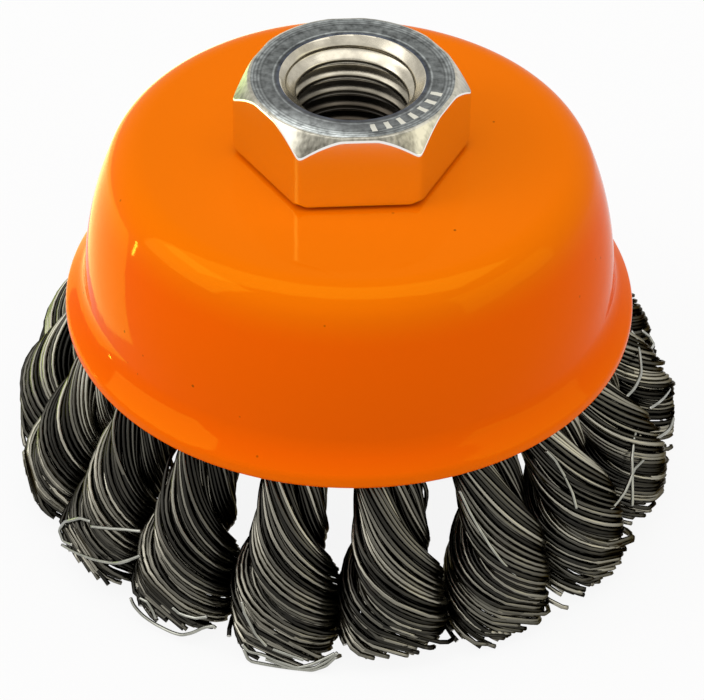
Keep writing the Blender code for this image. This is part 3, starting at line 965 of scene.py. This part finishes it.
def knot_points(number):
    """All the wires of one knot at the front, each from its inner tip to its outer tip.

    The stations along a leg crowd towards its tip: their shares are 1 - (1 - t) to the 1.3,
    times the share at which the wire is cut.
    """
    random = np.random.default_rng(100 + number)
    place = packed_disc(WIRES_PER_LEG, random)
    width = random.uniform(*WIDTH_RANGE)
    swell_end = random.uniform(*SWELL_END_RANGE)
    trim = KNOT_TRIMS.get(number, 0.0) / WEB_PLACE[1]
    twist = KNOT_TWISTS.get(number, 0.0)
    legs = []
    for side in (-1, 1):
        cut = tuft_shares(random, place, trim)
        share = (1 - (1 - np.linspace(0, 1, LEG_STATIONS)) ** STATION_CROWDING) * cut
        size = (STRAY_AT_PAN + STRAY_GROWTH * share**2) * eased_share(share / LEG_CLOSING)
        stray = wander(random, share, size)
        stray[0] += bulge(random, place, share)
        stray += frizz(random, share)
        mirrored = place * np.array([1.0, -side])
        radius = knot_radius(share, swell_end) * width
        legs.append((*leg_paths(mirrored, side, share, radius, stray, twist), share))
    over, over_out = fold_paths(place)
    over_share = np.zeros(over.shape[:2])
    paths = np.concatenate([legs[0][0][:, ::-1], over, legs[1][0]], axis=1)
    out = np.concatenate([legs[0][1][:, ::-1], over_out, legs[1][1]], axis=1)
    share = np.concatenate([legs[0][2][:, ::-1], over_share, legs[1][2]], axis=1)
    return paths, out, share


def knot_azimuth(number, share):
    """A knot's angle about the brush: its even place, and its lean at the rim and the tip."""
    at_rim, at_tip = np.radians(KNOT_LEANS.get(number, (0.0, 0.0)))
    even = FIRST_KNOT + 2 * np.pi * (number - 1) / KNOT_COUNT
    return even + at_rim * 4 * share * (1 - share) + at_tip * share**2


def turned_about(points, angle):
    """Turns each point about the brush's axis by its own angle."""
    x = points[..., 0] * np.cos(angle) - points[..., 1] * np.sin(angle)
    y = points[..., 0] * np.sin(angle) + points[..., 1] * np.cos(angle)
    return np.stack([x, y, points[..., 2]], axis=-1)


def held_inside(paths, diameter, reach):
    """Keeps wires above the surface that the brush stands on and within their reach."""
    radius = np.linalg.norm(paths[..., :2], axis=-1, keepdims=True)
    limit = reach - diameter / 2
    paths[..., :2] *= np.minimum(1.0, limit / radius)
    paths[..., 2] = np.maximum(paths[..., 2], diameter / 2)
    return paths


def wire_tubes(paths, out, diameter, sides):
    """Round wires along paths: corners in the plane square to the path, and closed ends.

    One side of that plane is the outward direction less its share along the path, and the
    other is square to it.
    """
    wires, stations = paths.shape[:2]
    ahead = np.gradient(paths, axis=1)
    ahead /= np.linalg.norm(ahead, axis=-1, keepdims=True)
    first = out - np.sum(out * ahead, axis=-1, keepdims=True) * ahead
    first /= np.linalg.norm(first, axis=-1, keepdims=True)
    second = np.cross(ahead, first)
    angle = np.linspace(0, 2 * np.pi, sides, endpoint=False)
    ring = np.cos(angle)[:, None] * first[:, :, None] + np.sin(angle)[:, None] * second[:, :, None]
    points = paths[:, :, None] + diameter / 2 * ring
    tube = grid_quads(stations, sides, False, True)[:, ::-1]
    start = np.arange(wires) * stations * sides
    quads = (start[:, None, None] + tube[None]).reshape(-1, 4)
    first_end = start[:, None] + np.arange(sides)[None, ::-1]
    last_end = start[:, None] + (stations - 1) * sides + np.arange(sides)[None]
    return points, quads, np.concatenate([first_end, last_end])


def drawn_wire():
    """Hard-drawn wire: dark oiled steel with a warm gloss, no two wires quite alike."""
    finish = new_finish("drawn_wire", Metallic=1.0, Roughness=0.24, Specular_Tint=WIRE_GLOSS)
    tone = finish.node_tree.nodes.new("ShaderNodeAttribute")
    tone.attribute_name = "wire_tone"
    coloured(finish, blended(finish.node_tree, tone.outputs["Fac"], WIRE_DARK, WIRE_PALE))
    return finish


def cut_end():
    """The cut ends of the wires, bright where the shear left bare steel."""
    return new_finish("cut_wire_end", Base_Color=CUT_END, Metallic=1.0, Roughness=0.4)


wire_finish = drawn_wire()
end_finish = cut_end()


def add_wires(name, paths, out, tone, diameter, finish):
    """Makes one piece of many wires and gives each wire its own tone."""
    points, quads, ends = wire_tubes(paths, out, diameter, WIRE_SIDES)
    faces = quads.tolist() + ends.tolist()
    piece = add_piece(name, points, faces, [finish, end_finish])
    face_finish = np.zeros(len(faces), int)
    face_finish[len(quads) :] = 1
    piece.data.polygons.foreach_set("material_index", face_finish)
    attribute = piece.data.attributes.new("wire_tone", "FLOAT", "POINT")
    attribute.data.foreach_set("value", np.repeat(tone, points.shape[1] * points.shape[2]))
    return piece


for number in range(1, KNOT_COUNT + 1):
    paths, out, share = knot_points(number)
    azimuth = knot_azimuth(number, share)
    paths = held_inside(turned_about(paths, azimuth), WIRE_DIAMETER, REACH_LIMIT)
    out = turned_about(out, azimuth)
    tones = np.random.default_rng(number).uniform(0, 1, WIRES_PER_LEG) ** TONE_RARITY
    name = f"knot_wires_{number:02d}"
    bundle = add_wires(name, paths, out, tones, WIRE_DIAMETER, wire_finish)
    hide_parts(f"wire_knot_{number:02d}")

# A few wires have worked loose. They are bright where they rub, and lie round the knots' tips
# or stand out between them. Each is given by its points on the surface that wraps all the
# knots: degrees about the brush, from its front towards +X, and millimetres of height.
LOOSE_DIAMETER = 0.4 * MM
LOOSE_STATIONS = 48
LOOSE_REACH = 37.22 * MM
LOOSE_SMOOTHING = np.array([1, 2, 3, 2, 1]) / 9
LOOSE_SWELL_END = 0.85
LOOSE_CLEARANCE = 0.8 * WIRE_DIAMETER
LOOSE_DARK = (0.17, 0.17, 0.145, 1)
LOOSE_BRIGHT = (0.45, 0.45, 0.395, 1)
LOOSE_WIRES = (
    ((-38.5, 3.4), (-37.7, 2.1), (-35.7, 1.3), (-33.2, 1.0), (-29.8, 0.9), (-27.9, 1.1),
     (-25.8, 2.1), (-23.7, 3.5), (-22.0, 4.2), (-21.2, 3.8)),
    ((-29.7, 4.8), (-28.3, 4.3), (-27.0, 4.3), (-25.1, 4.5), (-22.7, 5.4)),
    ((-36.3, 3.8), (-34.6, 3.8), (-33.6, 3.0), (-32.8, 1.8)),
    ((-17.3, 3.0), (-15.8, 1.7), (-13.4, 1.7), (-11.0, 1.1), (-9.0, 0.8), (-7.5, 0.5),
     (-5.2, 1.2), (-2.9, 2.3), (-0.9, 3.3)),
    ((-13.5, 1.2), (-11.0, 0.8), (-9.0, 0.4), (-7.1, 0.3), (-4.8, 0.7), (-2.6, 1.9), (-0.6, 3.5)),
    ((-16.8, 2.3), (-15.9, 0.6), (-15.2, 0.3), (-12.3, 0.3), (-10.9, 0.3), (-8.7, 0.3)),
    ((-12.0, 0.3), (-9.3, 0.3), (-7.2, 0.3), (-5.1, 0.3), (-2.9, 1.1), (-0.9, 2.9)),
    ((-17.3, 8.7), (-15.7, 6.3), (-14.5, 4.5), (-12.5, 2.9)),
    ((-11.8, 2.8), (-9.7, 2.4), (-6.3, 1.7)),
    ((22.4, 18.9), (23.2, 17.6), (24.0, 16.2), (25.2, 14.5), (26.6, 12.6), (28.2, 10.8),
     (29.4, 9.7), (30.4, 8.9)),
    ((43.3, 19.0), (44.9, 17.5), (45.9, 15.6), (46.2, 13.7), (45.6, 12.0)),
    ((70.5, 13.3), (67.0, 12.9), (63.5, 11.9), (60.4, 10.2), (57.6, 8.2)),
    ((66.8, 10.6), (62.6, 11.0), (57.6, 10.2), (53.0, 10.0), (48.6, 10.4)),
    ((70.8, 16.2), (75.8, 15.4), (81.8, 14.8), (87.6, 15.5), (90.2, 16.1), (89.1, 17.6)),
    ((91.3, 13.4), (97.1, 11.6), (98.1, 12.3), (96.3, 14.2)),
    ((76.4, 12.6), (83.0, 10.8), (89.5, 9.1)),
    ((72.8, 10.4), (79.0, 8.7), (83.4, 8.1)),
    ((-48.9, 8.6), (-44.9, 9.7), (-41.4, 10.6), (-38.0, 11.3)),
    ((-57.7, 2.1), (-52.2, 3.5), (-46.8, 5.0), (-41.9, 6.6), (-38.6, 8.2), (-36.5, 9.3)),
    ((-52.4, 4.4), (-56.1, 3.2), (-57.4, 4.2), (-55.0, 6.7), (-51.5, 8.6), (-48.5, 9.2)),
    ((158.0, 4.0), (163.0, 1.8), (170.0, 1.0), (178.0, 1.6), (184.0, 3.6)),
    ((-142.0, 6.0), (-136.0, 3.6), (-130.0, 3.0), (-124.0, 4.4)),
)


def loose_path(points):
    """A wire through its points, evenly spaced and smoothed by a short running mean.

    Its distance from the brush's axis is that of the knots' axis at its height, with their
    radius and most of a wire's width added.
    """
    degrees, height = np.transpose(points)
    stops = np.linspace(0, 1, len(points))
    steps = np.linspace(0, 1, LOOSE_STATIONS + len(LOOSE_SMOOTHING) - 1)
    angle = np.convolve(np.interp(steps, stops, np.radians(degrees)), LOOSE_SMOOTHING, "valid")
    height = np.convolve(np.interp(steps, stops, height * MM), LOOSE_SMOOTHING, "valid")
    share = np.linspace(0.1, 1, 100)
    axis = knot_axis(share)[0]
    wrap = axis[:, 0] + knot_radius(share, LOOSE_SWELL_END) + LOOSE_CLEARANCE
    radius = np.interp(height, axis[::-1, 1], wrap[::-1])
    path = upright(np.stack([radius, height], axis=-1))
    outwards = upright(np.stack([np.ones(LOOSE_STATIONS), np.zeros(LOOSE_STATIONS)], axis=-1))
    return turned_about(path, angle), turned_about(outwards, angle)


def bright_wire():
    """A loose wire: rubbed bright in patches, and darker where its oil is left."""
    finish = new_finish("bright_wire", Metallic=1.0, Roughness=0.24)
    tree = finish.node_tree
    patches = noise(tree, object_place(tree), scale=700, detail=3)["Fac"]
    coloured(finish, blended(tree, patches, LOOSE_DARK, LOOSE_BRIGHT))
    return finish


loose_paths, loose_out = zip(*[loose_path(points) for points in LOOSE_WIRES])
add_wires(
    "loose_wires",
    held_inside(np.array(loose_paths), LOOSE_DIAMETER, LOOSE_REACH),
    np.array(loose_out),
    np.ones(len(LOOSE_WIRES)),
    LOOSE_DIAMETER,
    bright_wire(),
)

# The floor is a plain white sheet under a white sky. A window stands to the left, a soft panel
# hangs above and a pale wall stands to the right. Behind the brush to the left lie a card and
# a slit of light, which the enamel mirrors. The camera sees no lamp.
FLOOR_HALF = 2.0
FLOOR_WHITE = (0.8, 0.8, 0.8, 1)
FLOOR_GLOW = 0.9
SKY_STRENGTH = 0.55

# Each lamp is its place, the point it faces, its two sides and its power.
WINDOW = ((-0.9, -0.2, 0.5), (0.0, 0.0, 0.03), (0.8, 0.8), 3.0)
PANEL = ((-0.4, -0.1, 1.1), (-0.4, -0.1, 0.0), (2.4, 0.7), 7.0)
WALL = ((0.9, -0.3, 0.3), (0.0, 0.0, 0.03), (0.9, 0.7), 1.25)
CARD = ((-0.110, 0.094, 0.002), (-0.110, 0.094, 1.0), (0.17, 0.15), 0.16)
SLIT = ((-0.230, 0.035, 0.002), (-0.230, 0.035, 1.0), (0.14, 0.005), 0.06)
CARD_TURN = np.radians(156)
SLIT_TURN = np.radians(168)
CARD_COLOUR = (0.7, 1.0, 0.15)
SLIT_COLOUR = (1.0, 0.85, 0.4)
WALL_COLOUR = (1.0, 0.93, 0.6)


def seen_directly(tree):
    """1 for what the camera sees, straight or in a reflection or through glass, else 0."""
    rays = tree.nodes.new("ShaderNodeLightPath").outputs
    straight = maths(tree, "MAXIMUM", rays["Is Camera Ray"], rays["Is Glossy Ray"])
    return maths(tree, "MAXIMUM", straight, rays["Is Transmission Ray"])


def white_floor():
    """A white sheet that keeps the shadow on it, and is otherwise as white as the sky.

    To the camera nine tenths of its light is its own glow, and the rest is what falls on it.
    """
    finish = new_finish("white_floor", Base_Color=FLOOR_WHITE, Roughness=1.0)
    tree = finish.node_tree
    glow = tree.nodes.new("ShaderNodeEmission")
    both = tree.nodes.new("ShaderNodeMixShader")
    feed(tree, both.inputs["Fac"], maths(tree, "MULTIPLY", seen_directly(tree), FLOOR_GLOW))
    tree.links.new(tree.nodes["Principled BSDF"].outputs["BSDF"], both.inputs[1])
    tree.links.new(glow.outputs["Emission"], both.inputs[2])
    tree.links.new(both.outputs["Shader"], tree.nodes["Material Output"].inputs["Surface"])
    return finish


def add_soft_lamp(name, place, aim, size, power, turn=0.0, colour=(1, 1, 1)):
    """A rectangular lamp that faces its aim, turned level by an angle after that."""
    data = bpy.data.lights.new(name, "AREA")
    data.shape = "RECTANGLE"
    data.size, data.size_y = size
    data.energy = power
    data.color = colour
    lamp = bpy.data.objects.new(name, data)
    lamp.visible_camera = False
    bpy.context.collection.objects.link(lamp)
    towards = (Vector(aim) - Vector(place)).to_track_quat("-Z", "Y").to_matrix()
    flat_turn = Matrix.Rotation(turn, 3, "Z")
    lamp.matrix_world = Matrix.Translation(place) @ (flat_turn @ towards).to_4x4()


floor_corners = np.array([[-1, -1, 0], [1, -1, 0], [1, 1, 0], [-1, 1, 0]]) * FLOOR_HALF
floor_mesh = bpy.data.meshes.new("floor")
floor_mesh.from_pydata(floor_corners, [], [(0, 1, 2, 3)])
floor_mesh.materials.append(white_floor())
floor = bpy.data.objects.new("floor", floor_mesh)
bpy.context.collection.objects.link(floor)

world = bpy.data.worlds.new("white_room")
world.use_nodes = True
bpy.context.scene.world = world
room = world.node_tree
sky = room.nodes["Background"]
sky.inputs["Color"].default_value = (1, 1, 1, 1)
brightness = ranged(room, seen_directly(room), 0.0, 1.0, low=SKY_STRENGTH)
room.links.new(brightness, sky.inputs["Strength"])

add_soft_lamp("window", *WINDOW)
add_soft_lamp("panel", *PANEL)
add_soft_lamp("wall", *WALL, colour=WALL_COLOUR)
add_soft_lamp("card", *CARD, CARD_TURN, CARD_COLOUR)
add_soft_lamp("slit", *SLIT, SLIT_TURN, SLIT_COLOUR)

bpy.context.scene.view_settings.view_transform = "Standard"
